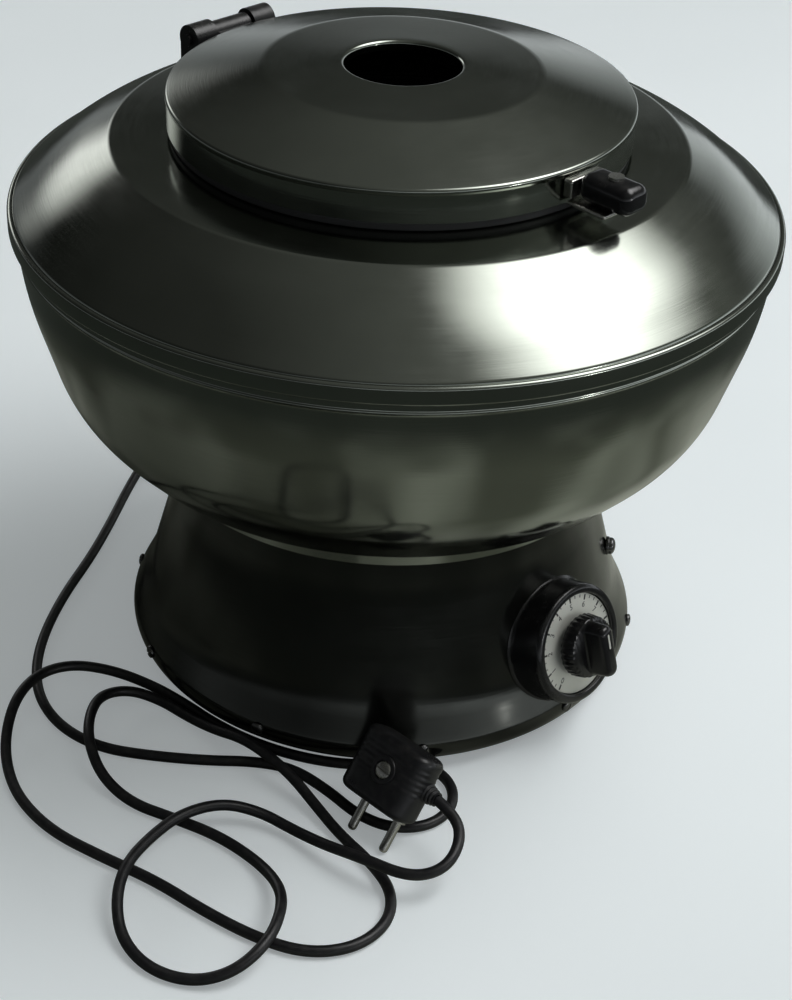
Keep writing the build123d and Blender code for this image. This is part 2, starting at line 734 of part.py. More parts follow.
# ---- mains cord ------------------------------------------------------------------------
GLAND_FLANGE_Y = 120.5
with BuildPart() as cord_gland:
    with BuildSketch(cord_hole.offset(102.5 - 90)):
        Circle(8.5)
    extrude(amount=3)
    with BuildSketch(cord_hole.offset(102.5 - 90)):
        Circle(5.8)
    extrude(amount=GLAND_FLANGE_Y - 102.5)
    with BuildSketch(cord_hole.offset(GLAND_FLANGE_Y - 90)):
        Circle(7.6)
    with BuildSketch(cord_hole.offset(CORD_EXIT[1] - 90)):
        Circle(3.6)
    loft()
pieces["cord_gland"] = cord_gland

# The cord's route from the gland to the plug: out at the back, down to the floor, round the
# left of the base, back along its foot and out again in two open loops.
REST = FLOOR_REST
OVER = 12.0             # centreline height where the cord passes over itself
cord_route = [
    CORD_EXIT, (23.3, 150, 24), (18.5, 162.5, 21), (6, 171, 15.5), (-11, 172, 10), (-29, 163, 5.5),
    (-52, 148, REST), (-79, 130, REST), (-109, 113, REST), (-136, 93.5, REST), (-155, 74, REST),
    (-166.5, 54, REST), (-170.5, 32, REST), (-166, 10, REST), (-153, -9, REST), (-137, -28, REST),
    (-121.5, -43, REST), (-112, -58, REST), (-110.5, -79, REST), (-112, -99, REST),
    (-107, -115, REST), (-94.5, -125, REST), (-79, -124.5, REST), (-67.5, -114, REST),
    (-65.5, -99, REST), (-75.5, -86, REST), (-91, -74.5, REST), (-104, -56, REST),
    (-113, -34.5, REST), (-117.5, -12, REST), (-118.5, 10, REST), (-121, 29, REST),
    (-129.5, 47, 5.5), (-144, 59, 10), (-161, 62, OVER), (-179, 55, OVER), (-194, 43, 6),
    (-205, 27, REST), (-213, 6, REST), (-214.5, -19, REST), (-208.5, -45, REST),
    (-201, -71, REST), (-197.5, -98, REST), (-192, -123, REST), (-183, -143, REST),
    (-166.5, -154.5, REST), (-147.5, -154, REST), (-133.5, -142.5, REST), (-128, -124, REST),
    (-126, -103, REST), (-122.5, -84, 4.5), (-121, -68, 9), (-121.5, -54, OVER), (-122, -36, OVER),
    (-123, -17.5, 6), (-123.5, 1, REST), (-125.5, 17, 3.4), (-134, 29.5, 7), (-149, 31.5, 11),
    (-162, 23, OVER), (-173.5, 9, OVER), (-180, -8, 6.5), (-179, -27, REST),
    (-171.5, -47, REST), (-164.5, -68, REST), (-162.5, -90, REST), (-167.5, -110, 6.5),
    (-179, -125, OVER), (-195.5, -135, OVER), (-213, -134.5, 7), (-226, -124, REST),
    (-234, -107, REST), (-232.5, -88, 4), (-223, -73, 9), (-210, -63, OVER),
    (-193, -57.5, OVER), (-174, -55, OVER), (-156.5, -61.5, OVER), (-144.5, -73, 7),
    (-140, -89, 4.5), (-139, -107, 8), (-136, -126, OVER), (-129.5, -148, OVER),
    (-118, -156.5, 15), (-105, -153, 19), (-97.4, -143.4, 22.5),
]
PLUG_TILT = 52.0        # the pins point this far below level
PLUG_ORIGIN = Vector(-109.6, -112.0, 13.4)
pin_way = Vector(-cos(radians(PLUG_TILT)), 0, -sin(radians(PLUG_TILT)))
plug_plane = Plane(origin=PLUG_ORIGIN, x_dir=Vector(0, -1, 0), z_dir=pin_way)
PLUG_W, PLUG_DEPTH, PLUG_LENGTH = 38.0, 19.0, 30.0
PLUG_SHIFT = -4.0       # the moulding reaches further from the pins on the side away from the cord
PIN_SPACING, PIN_DIAMETER, PIN_LENGTH = 19.0, 4.0, 15.5
SLEEVE_LENGTH = 5.0
entry = Plane(
    origin=plug_plane.from_local_coords(Vector(PLUG_W / 2 + PLUG_SHIFT, -2.5, -16)),
    x_dir=pin_way,
    z_dir=Vector(0, -1, 0),
)
cord_route.append(tuple(entry.offset(SLEEVE_LENGTH).origin))


def route_radii(points, share=0.45):
    """The largest tangent arc that each corner's two runs allow."""
    corners = [Vector(*point) for point in points]
    radii = []
    for before, corner, after in zip(corners, corners[1:], corners[2:]):
        arriving, leaving = corner - before, after - corner
        half_turn = radians(arriving.get_angle(leaving)) / 2
        radii.append(share * min(arriving.length, leaving.length) / tan(half_turn))
    return radii


cord_radii = route_radii(cord_route)
with BuildPart() as power_cord:
    with BuildLine() as cord_path:
        FilletPolyline(*cord_route, radius=cord_radii)
    with BuildSketch(Plane(origin=cord_path.line @ 0, z_dir=cord_path.line % 0)):
        Circle(CORD_D / 2)
    sweep()
pieces["power_cord"] = power_cord
cord_length = cord_path.wires()[0].length
section_volume = pi * CORD_D ** 2 / 4 * cord_length
print("cord radii", [round(radius) for radius in cord_radii])
print("cord length", round(cord_length), "volume over section x length",
      round(power_cord.part.volume / section_volume, 4))

with BuildPart() as plug_body:
    with BuildSketch(plug_plane):
        with Locations((PLUG_SHIFT, 0)):
            RectangleRounded(PLUG_W, PLUG_DEPTH, 8)
    extrude(amount=-PLUG_LENGTH)
    fillet(plug_body.faces().sort_by_distance(plug_plane.offset(-PLUG_LENGTH - 10).origin)[0].edges(), 6)
    fillet(plug_body.faces().sort_by_distance(plug_plane.offset(10).origin)[0].edges(), 2)
    with BuildSketch(entry.offset(-3)):
        Circle(4.6)
    extrude(amount=SLEEVE_LENGTH + 3)
    with BuildSketch(plug_plane):
        with GridLocations(PIN_SPACING, 1, 2, 1):
            Circle(PIN_DIAMETER / 2)
    extrude(amount=-8, mode=Mode.SUBTRACT)
    with BuildSketch(Plane(origin=plug_plane.from_local_coords(Vector(-3, PLUG_DEPTH / 2, -16)),
                           x_dir=Vector(0, -1, 0), z_dir=plug_plane.y_dir)):
        Circle(6)
    extrude(amount=-3, mode=Mode.SUBTRACT)
pieces["plug_body"] = plug_body

with BuildPart() as plug_pins:
    with BuildSketch(plug_plane.offset(-8)):
        with GridLocations(PIN_SPACING, 1, 2, 1):
            Circle(PIN_DIAMETER / 2)
    extrude(amount=PIN_LENGTH + 8)
pieces["plug_pins"] = plug_pins

with BuildPart() as plug_screw:
    with BuildSketch(Plane(origin=plug_plane.from_local_coords(Vector(-3, PLUG_DEPTH / 2 - 3, -16)),
                           x_dir=Vector(0, -1, 0), z_dir=plug_plane.y_dir)):
        Circle(4)
    extrude(amount=2.4)
pieces["plug_screw"] = plug_screw


# ---- write the pieces --------------------------------------------------------------------
os.makedirs("parts", exist_ok=True)
for name, builder in pieces.items():
    builder.part.label = name
    export_step(builder.part, f"parts/{name}.step")
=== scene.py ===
"""Vibratory rock tumbler: the finished look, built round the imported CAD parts."""

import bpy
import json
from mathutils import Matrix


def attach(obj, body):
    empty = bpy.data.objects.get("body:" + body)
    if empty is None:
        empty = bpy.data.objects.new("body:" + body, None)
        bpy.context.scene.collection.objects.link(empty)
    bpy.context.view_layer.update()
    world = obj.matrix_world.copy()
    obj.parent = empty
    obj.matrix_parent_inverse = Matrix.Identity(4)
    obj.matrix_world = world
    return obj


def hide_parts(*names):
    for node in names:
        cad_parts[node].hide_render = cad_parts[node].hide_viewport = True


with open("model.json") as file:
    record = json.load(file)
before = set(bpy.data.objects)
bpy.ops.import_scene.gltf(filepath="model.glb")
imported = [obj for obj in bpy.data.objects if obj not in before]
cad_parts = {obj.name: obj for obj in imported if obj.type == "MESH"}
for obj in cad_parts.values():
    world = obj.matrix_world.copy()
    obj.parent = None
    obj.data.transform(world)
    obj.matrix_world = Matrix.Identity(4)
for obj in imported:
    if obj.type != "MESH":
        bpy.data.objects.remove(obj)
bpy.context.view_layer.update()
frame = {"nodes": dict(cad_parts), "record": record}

import json
import math

import bmesh
import bpy
from mathutils import Matrix, Vector

MM = 0.001
nodes = frame["nodes"]
record = frame["record"]
node_slot = {part["node"]: part["material_slot"] for part in record["subparts"]}


# ---- materials -------------------------------------------------------------------------
class Shader:
    """A node material with short calls for the few nodes used here."""

    def __init__(self, name):
        self.material = bpy.data.materials.new(name)
        self.material.use_nodes = True
        self.tree = self.material.node_tree
        self.surface = self.tree.nodes["Principled BSDF"]
        self.place = self.node("ShaderNodeTexCoord").outputs["Object"]

    def node(self, kind, **values):
        made = self.tree.nodes.new(kind)
        for key, value in values.items():
            setattr(made, key, value)
        return made

    def link(self, source, target):
        self.tree.links.new(source, target)

    def math(self, operation, first, second=0.0):
        made = self.node("ShaderNodeMath", operation=operation)
        for socket, value in zip(made.inputs, (first, second)):
            if isinstance(value, (int, float)):
                socket.default_value = value
            else:
                self.link(value, socket)
        return made.outputs[0]

    def noise(self, scale, detail=4.0, vector=None, rough=0.55):
        made = self.node("ShaderNodeTexNoise")
        made.inputs["Scale"].default_value = scale
        made.inputs["Detail"].default_value = detail
        made.inputs["Roughness"].default_value = rough
        self.link(vector or self.place, made.inputs["Vector"])
        return made.outputs["Fac"]

    def spread(self, source, low, high, start=0.3, stop=0.7):
        made = self.node("ShaderNodeMapRange")
        made.inputs["From Min"].default_value = start
        made.inputs["From Max"].default_value = stop
        made.inputs["To Min"].default_value = low
        made.inputs["To Max"].default_value = high
        self.link(source, made.inputs["Value"])
        return made.outputs["Result"]

    def mix(self, factor, first, second):
        made = self.node("ShaderNodeMix", data_type="RGBA")
        for index, value in ((0, factor), (6, first), (7, second)):
            socket = made.inputs[index]
            if isinstance(value, (int, float)):
                socket.default_value = value
            elif isinstance(value, (tuple, list)):
                socket.default_value = (*value, 1.0)
            else:
                self.link(value, socket)
        return made.outputs[2]

    def turned(self, along=1.0):
        """Coordinates that run round the Z axis, for lathe and spinning marks."""
        parts = self.node("ShaderNodeSeparateXYZ")
        self.link(self.place, parts.inputs[0])
        x, y, z = parts.outputs
        radius = self.math("SQRT", self.math("ADD", self.math("MULTIPLY", x, x), self.math("MULTIPLY", y, y)))
        angle = self.math("MULTIPLY", self.math("ARCTAN2", y, x), 0.004 * along)
        joined = self.node("ShaderNodeCombineXYZ")
        for source, target in zip((radius, z, angle), joined.inputs):
            self.link(source, target)
        return joined.outputs[0]

    def stretched(self, scale):
        made = self.node("ShaderNodeMapping")
        made.inputs["Scale"].default_value = scale
        self.link(self.place, made.inputs["Vector"])
        return made.outputs[0]


def finish_material(name, color, metallic=0.0, rough=(0.3, 0.45), shade=0.12, grain=900, bump=0.05,
                    spun=False, brushed=None, dust=0.0, wave=0.0, smudge=0.0):
    """Base colour with mottling, uneven roughness, fine bump, and dust where the surface looks up."""
    s = Shader(name)
    dark = tuple(c * (1 - shade) for c in color)
    light = tuple(min(1.0, c * (1 + shade)) for c in color)
    patches = s.noise(22, 6)
    colour = s.mix(s.spread(patches, 0, 1), dark, light)
    if dust:
        geometry = s.node("ShaderNodeNewGeometry")
        parts = s.node("ShaderNodeSeparateXYZ")
        s.link(geometry.outputs["Normal"], parts.inputs[0])
        up = s.spread(parts.outputs[2], 0, dust, 0.2, 1.0)
        specks = s.spread(s.noise(260, 8), 0, 1, 0.42, 0.75)
        colour = s.mix(s.math("MULTIPLY", up, specks), colour, (0.45, 0.43, 0.4))
    s.link(colour, s.surface.inputs["Base Color"])
    s.surface.inputs["Metallic"].default_value = metallic
    lines = s.noise(grain, 3, vector=s.turned() if spun else s.stretched(brushed) if brushed else None)
    roughness = s.spread(s.noise(34, 7), rough[0], rough[1], 0.35, 0.68)
    roughness = s.math("ADD", roughness, s.spread(lines, -0.02, 0.03))
    if smudge:
        wiped = s.spread(s.noise(9, 9, rough=0.7), 0, smudge, 0.5, 0.72)
        roughness = s.math("ADD", roughness, wiped)
    s.link(roughness, s.surface.inputs["Roughness"])
    fine = s.node("ShaderNodeBump")
    fine.inputs["Strength"].default_value = bump
    fine.inputs["Distance"].default_value = 0.0004
    s.link(lines, fine.inputs["Height"])
    if wave:
        broad = s.node("ShaderNodeBump")
        broad.inputs["Strength"].default_value = wave
        broad.inputs["Distance"].default_value = 0.004
        s.link(s.noise(14, 2, vector=s.turned(8.0) if spun else None), broad.inputs["Height"])
        s.link(broad.outputs["Normal"], fine.inputs["Normal"])
    s.link(fine.outputs["Normal"], s.surface.inputs["Normal"])
    return s.material


LOOKS = {
    "bowl_steel": dict(color=(0.30, 0.32, 0.285), metallic=1.0, rough=(0.11, 0.17), shade=0.06, grain=1500,
                       bump=0.04, spun=True, wave=0.02, smudge=0.03, dust=0.015),
    "base_steel": dict(color=(0.055, 0.057, 0.052), metallic=0.95, rough=(0.13, 0.2), shade=0.15, grain=1200,
                       bump=0.04, spun=True, wave=0.05, smudge=0.08, dust=0.01),
    "liner": dict(color=(0.07, 0.07, 0.07), rough=(0.45, 0.65), grain=400, bump=0.3, dust=0.1),
    "black_rubber": dict(color=(0.02, 0.02, 0.022), rough=(0.55, 0.75), grain=1400, bump=0.25, dust=0.06),
    "cord_sheath": dict(color=(0.010, 0.010, 0.012), rough=(0.34, 0.5), grain=1800, bump=0.12, dust=0.05),
    "plug_plastic": dict(color=(0.012, 0.012, 0.014), rough=(0.22, 0.42), grain=1600, bump=0.12, dust=0.07),
    "plated_steel": dict(color=(0.62, 0.61, 0.58), metallic=1.0, rough=(0.14, 0.3), grain=2500, bump=0.1,
                         brushed=(1, 1, 12)),
    "black_paint": dict(color=(0.012, 0.012, 0.013), rough=(0.25, 0.42), grain=700, bump=0.18, dust=0.08),
    "handle_plastic": dict(color=(0.009, 0.009, 0.010), rough=(0.10, 0.22), grain=900, bump=0.06, dust=0.04),
    "plate_steel": dict(color=(0.42, 0.42, 0.41), metallic=1.0, rough=(0.28, 0.45), grain=1200, bump=0.12,
                        brushed=(1, 25, 1), dust=0.1),
    "dark_screw": dict(color=(0.14, 0.14, 0.14), metallic=1.0, rough=(0.16, 0.34), grain=2200, bump=0.12, dust=0.05),
    "spring_steel": dict(color=(0.26, 0.26, 0.26), metallic=1.0, rough=(0.25, 0.4), grain=1500, bump=0.1),
    "motor_paint": dict(color=(0.08, 0.1, 0.12), rough=(0.35, 0.5), grain=500, bump=0.25, dust=0.12),
    "stator_steel": dict(color=(0.2, 0.19, 0.18), metallic=0.8, rough=(0.4, 0.6), grain=1500, bump=0.3,
                         brushed=(1, 1, 30)),
    "cast_aluminium": dict(color=(0.55, 0.55, 0.55), metallic=1.0, rough=(0.4, 0.6), grain=900, bump=0.35),
    "bearing_steel": dict(color=(0.55, 0.55, 0.55), metallic=1.0, rough=(0.12, 0.25), grain=2000, bump=0.06,
                          spun=True),
    "weight_iron": dict(color=(0.16, 0.155, 0.15), metallic=0.8, rough=(0.45, 0.65), grain=500, bump=0.4),
    "fan_plastic": dict(color=(0.04, 0.04, 0.045), rough=(0.4, 0.6), grain=900, bump=0.15),
    "pod_plastic": dict(color=(0.008, 0.008, 0.009), rough=(0.14, 0.3), grain=1300, bump=0.08, dust=0.05),
    "dial_aluminium": dict(color=(0.74, 0.74, 0.68), metallic=0.35, rough=(0.3, 0.45), grain=2200, bump=0.1,
                           brushed=(30, 1, 1)),
    "knob_plastic": dict(color=(0.007, 0.007, 0.008), rough=(0.12, 0.26), grain=1200, bump=0.07, dust=0.05),
    "board": dict(color=(0.05, 0.2, 0.08), rough=(0.3, 0.5), grain=600, bump=0.15),
}
materials = {name: finish_material(name, **look) for name, look in LOOKS.items()}
ink = finish_material("dial_ink", (0.02, 0.02, 0.02), rough=(0.4, 0.6), bump=0.1)
for name, node in nodes.items():
    node.data.materials.clear()
    node.data.materials.append(materials[node_slot[name]])
    node.data.shade_smooth()
    smooth = node.modifiers.new("edges", "BEVEL")
    smooth.width = 0.0003
    smooth.segments = 2
    smooth.limit_method = "ANGLE"
    smooth.angle_limit = math.radians(40)
    smooth.harden_normals = True


# ---- shapes ----------------------------------------------------------------------------
def rounded(points, radii, steps=10):
    """The polyline with each inner corner replaced by an arc. Points and radii in millimetres."""
    corners = [Vector(point) for point in points]
    line = [corners[0]]
    for before, corner, after, radius in zip(corners, corners[1:], corners[2:], radii):
        arriving = (before - corner).normalized()
        leaving = (after - corner).normalized()
        half = arriving.angle(leaving) / 2
        reach = radius / math.tan(half)
        first, last = corner + arriving * reach, corner + leaving * reach
        centre = corner + (arriving + leaving).normalized() * (radius / math.sin(half))
        for step in range(steps + 1):
            point = first.lerp(last, step / steps)
            line.append(centre + (point - centre).normalized() * radius)
    line.append(corners[-1])
    return line


def densified(line, step):
    """The same line with extra points, so that long runs shade and bump evenly."""
    made = [line[0]]
    for before, after in zip(line, line[1:]):
        count = max(1, round((after - before).length / step))
        made += [before.lerp(after, index / count) for index in range(1, count + 1)]
    return made


def thickened(line, thickness):
    """A closed half section: the line, and the line moved to its left."""
    inside = []
    for index, point in enumerate(line):
        run = (line[min(index + 1, len(line) - 1)] - line[max(index - 1, 0)]).normalized()
        inside.append(point + Vector((-run.y, run.x)) * thickness)
    return line + inside[::-1]


def scene_object(name, data):
    """A new object for the data, linked to the scene."""
    made = bpy.data.objects.new(name, data)
    bpy.context.scene.collection.objects.link(made)
    return made


SHARP_ANGLE = math.radians(35)


def mesh_object(name, vertices, faces):
    """Smooth mesh object from points in millimetres, with edges kept sharp past SHARP_ANGLE."""
    data = bpy.data.meshes.new(name)
    data.from_pydata([Vector(vertex) * MM for vertex in vertices], [], faces)
    work = bmesh.new()
    work.from_mesh(data)
    bmesh.ops.remove_doubles(work, verts=work.verts, dist=1e-6)
    bmesh.ops.recalc_face_normals(work, faces=work.faces)
    for edge in work.edges:
        edge.smooth = len(edge.link_faces) == 2 and edge.calc_face_angle(0) < SHARP_ANGLE
    for face in work.faces:
        face.smooth = True
    work.to_mesh(data)
    work.free()
    return scene_object(name, data)


def lathe(name, profile, segments=256, closed=True, place=Matrix.Identity(4)):
    """The (radius, height) profile turned round Z, then put in place. Millimetres."""
    count = len(profile)
    vertices, faces = [], []
    for turn in range(segments):
        angle = 2 * math.pi * turn / segments
        for radius, height in profile:
            point = Vector((radius * math.cos(angle), radius * math.sin(angle), height))
            vertices.append(place @ point)
    last = count if closed else count - 1
    for turn in range(segments):
        here, there = turn * count, (turn + 1) % segments * count
        for index in range(last):
            after = (index + 1) % count
            faces.append((here + index, there + index, there + after, here + after))
    return mesh_object(name, vertices, faces)


def loft(name, rings, place=Matrix.Identity(4)):
    """Closed skin through rings of equal count, capped at both ends."""
    count = len(rings[0])
    vertices = [place @ Vector(point) for ring in rings for point in ring]
    faces = [tuple(range(count))[::-1], tuple(range((len(rings) - 1) * count, len(rings) * count))]
    for level in range(len(rings) - 1):
        for index in range(count):
            after = (index + 1) % count
            low, high = level * count, (level + 1) * count
            faces.append((low + index, low + after, high + after, high + index))
    return mesh_object(name, vertices, faces)


def rectangle_ring(width, depth, radius, height, steps=8):
    """Points of a rounded rectangle at a height."""
    radius = min(radius, width / 2 - 0.01, depth / 2 - 0.01)
    points = []
    for quarter, (side, end) in enumerate(((1, 1), (-1, 1), (-1, -1), (1, -1))):
        centre = Vector((side * (width / 2 - radius), end * (depth / 2 - radius)))
        for step in range(steps + 1):
            angle = math.pi / 2 * (quarter + step / steps)
            points.append((centre.x + radius * math.cos(angle), centre.y + radius * math.sin(angle), height))
    return points


def soft_block(name, width, depth, low, high, corner, ends, place=Matrix.Identity(4), waist=None):
    """Rounded bar along Z whose end edges are rounded too. waist(height) narrows it, in millimetres."""
    rings = []
    steps = 8
    for step in range(steps + 1):
        angle = math.pi / 2 * step / steps
        rings.append((low + ends * (1 - math.cos(angle)), ends * (1 - math.sin(angle))))
    count = max(2, round((high - low - 2 * ends) / 0.6))
    for step in range(1, count):
        rings.append((low + ends + (high - low - 2 * ends) * step / count, 0.0))
    for step in range(steps + 1):
        angle = math.pi / 2 * step / steps
        rings.append((high - ends + ends * math.sin(angle), ends * (1 - math.cos(angle))))
    made = []
    for height, inset in rings:
        thin = inset + (waist(height) if waist else 0.0)
        made.append(rectangle_ring(width - 2 * thin, depth - 2 * thin, max(corner - thin, 0.4), height))
    return loft(name, made, place)


def axes_place(origin, x_axis, z_axis):
    """Placement with local X and Z along the given directions."""
    z_axis = Vector(z_axis).normalized()
    x_axis = Vector(x_axis).normalized()
    y_axis = z_axis.cross(x_axis)
    turned = Matrix((x_axis, y_axis, z_axis)).transposed().to_4x4()
    return Matrix.Translation(Vector(origin)) @ turned


def facing(angle, radius, height):
    """Placement on the front of the base, turned by angle, with Z outward and X level."""
    turn = math.radians(angle)
    outward = Vector((math.sin(turn), -math.cos(turn), 0))
    return axes_place(outward * radius + Vector((0, 0, height)), (math.cos(turn), math.sin(turn), 0), outward)


def merge(name, parts):
    """One mesh object from several."""
    work = bmesh.new()
    for part in parts:
        work.from_mesh(part.data)
    data = bpy.data.meshes.new(name)
    work.to_mesh(data)
    work.free()
    for part in parts:
        bpy.data.objects.remove(part)
    return scene_object(name, data)


def wear(piece, body, slot, *stands_for):
    """Gives the piece its finish and its body, and hides the CAD nodes it stands for."""
    piece.data.materials.clear()
    piece.data.materials.append(materials[slot])
    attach(piece, body)
    if stands_for:
        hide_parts(*stands_for)
    return piece


# ---- bowl, cover and lid -----------------------------------------------------------------
BOWL_R, SEAM_Z, BOWL_BOTTOM_Z = 164.5, 227.0, 117.0
LEDGE_R, LEDGE_Z, MOUTH_R = 123.0, 254.5, 94.0
LID_R, LID_SKIRT_Z, LID_TOP_Z, LID_HOLE_R = 98.8, 260.0, 286.4, 24.6
RIM_Z = LID_TOP_Z - 12.4

bowl_line = rounded([(6.3, BOWL_BOTTOM_Z), (121, BOWL_BOTTOM_Z), (147, 145), (161.5, 194), (BOWL_R, SEAM_Z - 4)],
                    [30, 60, 150], 16)
bowl_line = densified(bowl_line, 4)


def bead(line, height, size, width):
    """Raises a small rolled bead round a wall at a height."""
    fine = densified(line, 0.35)
    keep = [p for p in line if abs(p.y - height) > 2 * width]
    near = [p for p in fine if abs(p.y - height) <= 2 * width and p.x > 100]
    raised = [Vector((p.x + size * math.exp(-((p.y - height) / (width / 2)) ** 2), p.y)) for p in near]
    low = [p for p in keep if not (p.x > 100 and p.y > height)]
    high = [p for p in keep if p.x > 100 and p.y > height]
    return low + raised + high


bowl_line = bead(bowl_line, SEAM_Z - 12.5, 0.7, 1.5)
wear(lathe("bowl_shell", thickened(bowl_line, 1.5)), "bowl", "bowl_steel", "bowl")

band = rounded([(BOWL_R + 0.1, SEAM_Z - 8), (BOWL_R + 2.2, SEAM_Z - 8), (BOWL_R + 2.2, SEAM_Z),
                (BOWL_R + 0.1, SEAM_Z)], [1.4, 1.4], 8)
wear(lathe("rim_roll", band), "bowl", "bowl_steel", "rim_band")

cover_line = rounded([(BOWL_R, SEAM_Z - 3.8), (BOWL_R, SEAM_Z + 0.4), (146, 242.6), (LEDGE_R, LEDGE_Z),
                      (MOUTH_R, LEDGE_Z + 1.6), (MOUTH_R - 1.5, LEDGE_Z + 11), (MOUTH_R - 5.5, LEDGE_Z + 11.5)],
                     [2.5, 120, 5, 1.2, 1.8], 12)
wear(lathe("cover_shell", thickened(densified(cover_line, 3), 1.5)), "bowl", "bowl_steel", "upper_cover")

lid_line = rounded([(LID_R, LID_SKIRT_Z), (LID_R, RIM_Z - 2.5), (LID_R + 1, RIM_Z), (58.8, LID_TOP_Z - 1.6),
                    (LID_HOLE_R, LID_TOP_Z), (LID_HOLE_R, LID_TOP_Z - 4)], [1.5, 1.5, 14, 1.6], 12)
wear(lathe("lid_shell", thickened(densified(lid_line, 3), 1.2)), "lid", "bowl_steel", "lid")

collar_line = rounded([(107, 105.5), (107, BOWL_BOTTOM_Z), (88, BOWL_BOTTOM_Z)], [2.5], 8)
wear(lathe("collar_ring", thickened(densified(collar_line, 3), 1.2)), "bowl", "bowl_steel", "bowl_collar")

# ---- base shell ----------------------------------------------------------------------------
BASE_LIFT, BASE_R, BASE_TOP_Z, BASE_MOUTH_R = 6.0, 121.6, 106.0, 90.0
base_line = rounded([(97, BASE_LIFT), (BASE_R - 3.5, BASE_LIFT), (BASE_R, BASE_LIFT + 8),
                     (BASE_R - 9, BASE_LIFT + 26), (98.6, BASE_TOP_Z - 24), (95, BASE_TOP_Z),
                     (BASE_MOUTH_R, BASE_TOP_Z)], [6, 9, 60, 90, 4], 16)
base_line = densified(base_line, 3)
wear(lathe("base_shell", thickened(base_line, 1.5)), "base", "base_steel", "base_housing")


def base_radius(height):
    """Outer radius of the base shell at a height."""
    for low, high in zip(base_line, base_line[1:]):
        if low.y <= height <= high.y and high.y > low.y:
            return low.x + (high.x - low.x) * (height - low.y) / (high.y - low.y)
    return base_line[-1].x


# ---- screws --------------------------------------------------------------------------------
def slot_turn(place):
    """A different slot angle for every screw, from where it stands."""
    return (place.translation.x * 7 + place.translation.y * 13) % 180


def pan_head(name, radius, height, slot_width, place):
    """Domed screw head with a straight slot, standing on the local XY plane."""
    steps = 10
    profile = [(0.0, 0.0), (radius, 0.0), (radius, height * 0.35)]
    for step in range(1, steps + 1):
        angle = math.pi / 2 * step / steps
        profile.append((radius * math.cos(angle), height * (0.35 + 0.65 * math.sin(angle))))
    head = lathe(name, profile, 32, False, place)
    cutter_size = (3 * radius, slot_width, height)
    bpy.ops.mesh.primitive_cube_add(size=1)
    cutter = bpy.context.object
    turn = Matrix.Rotation(math.radians(slot_turn(place)), 4, "Z")
    scale = Matrix.Diagonal((*cutter_size, 1.0))
    cutter.data.transform(place @ turn @ Matrix.Translation((0, 0, height * 0.95)) @ scale)
    cutter.data.transform(Matrix.Scale(MM, 4))
    cut = head.modifiers.new("slot", "BOOLEAN")
    cut.operation = "DIFFERENCE"
    cut.solver = "EXACT"
    cut.object = cutter
    bpy.context.view_layer.objects.active = head
    bpy.ops.object.select_all(action="DESELECT")
    head.select_set(True)
    bpy.ops.object.modifier_apply(modifier="slot")
    bpy.data.objects.remove(cutter)
    return head


RIM_SCREW_COUNT = 10
RIM_SCREW_FACE_R, RIM_SCREW_Z = BASE_R - 1.1, BASE_LIFT + 8.5
rim_heads = []
for index in range(RIM_SCREW_COUNT):
    spot = facing(360 / RIM_SCREW_COUNT * index, RIM_SCREW_FACE_R, RIM_SCREW_Z)
    rim_heads.append(pan_head("head", 3.0, 1.8, 0.7, spot))
wear(merge("rim_screw_heads", rim_heads), "base", "dark_screw", "rim_screws")

SIDE_WALL_R, SIDE_SCREW_Z = 107.8, 54
side_spots = [facing(angle, SIDE_WALL_R, SIDE_SCREW_Z) for angle in (38, 128, 205)]
side_heads = [pan_head("head", 4.0, 3.2, 0.9, spot) for spot in side_spots]
washer = rounded([(2.0, -1.6), (4.4, -1.6), (4.4, 0.0), (2.0, 0.0)], [0.3, 0.3], 4)
side_heads += [lathe("washer", washer, 32, True, spot) for spot in side_spots]
wear(merge("side_screw_heads", side_heads), "base", "dark_screw", "side_screws")

# ---- feet ----------------------------------------------------------------------------------
FOOT_CIRCLE_R = 82
foot_profile = rounded([(0, 0), (11, 0), (12, 7.6), (0, 7.6)], [1.2, 0.6], 6)
feet = []
for quarter in range(4):
    angle = math.radians(45 + 90 * quarter)
    spot = Matrix.Translation((FOOT_CIRCLE_R * math.cos(angle), FOOT_CIRCLE_R * math.sin(angle), 0))
    feet.append(lathe("foot", foot_profile, 48, False, spot))
wear(merge("rubber_feet", feet), "base", "black_rubber", "feet")

# ---- knob pod, dial and knob -----------------------------------------------------------------
POD_TURN, POD_TILT, POD_R = 1.0, 17.0, 27.5
POD_FACE_R, POD_FACE_Z, POD_SEGMENTS = 122.7, 49.9, 160
DIAL_R, DIAL_DEPTH = 23.0, 3.0
pod_place = facing(POD_TURN, POD_FACE_R, POD_FACE_Z) @ Matrix.Rotation(-math.radians(POD_TILT), 4, "X")
pod_profile = rounded([(POD_R, -9), (POD_R, 0), (DIAL_R + 0.3, 0), (DIAL_R + 0.3, -DIAL_DEPTH),
                       (4.6, -DIAL_DEPTH)], [2.4, 0.8, 0.2], 8)


def wall_depth(across, rise):
    """Local height at which a line along the pod's axis meets the base shell."""
    for step in range(400):
        depth = -0.1 * step
        point = pod_place @ Vector((across, rise, depth))
        if math.hypot(point.x, point.y) <= base_radius(max(point.z, BASE_LIFT + 8)):
            return depth + 0.1
    return depth


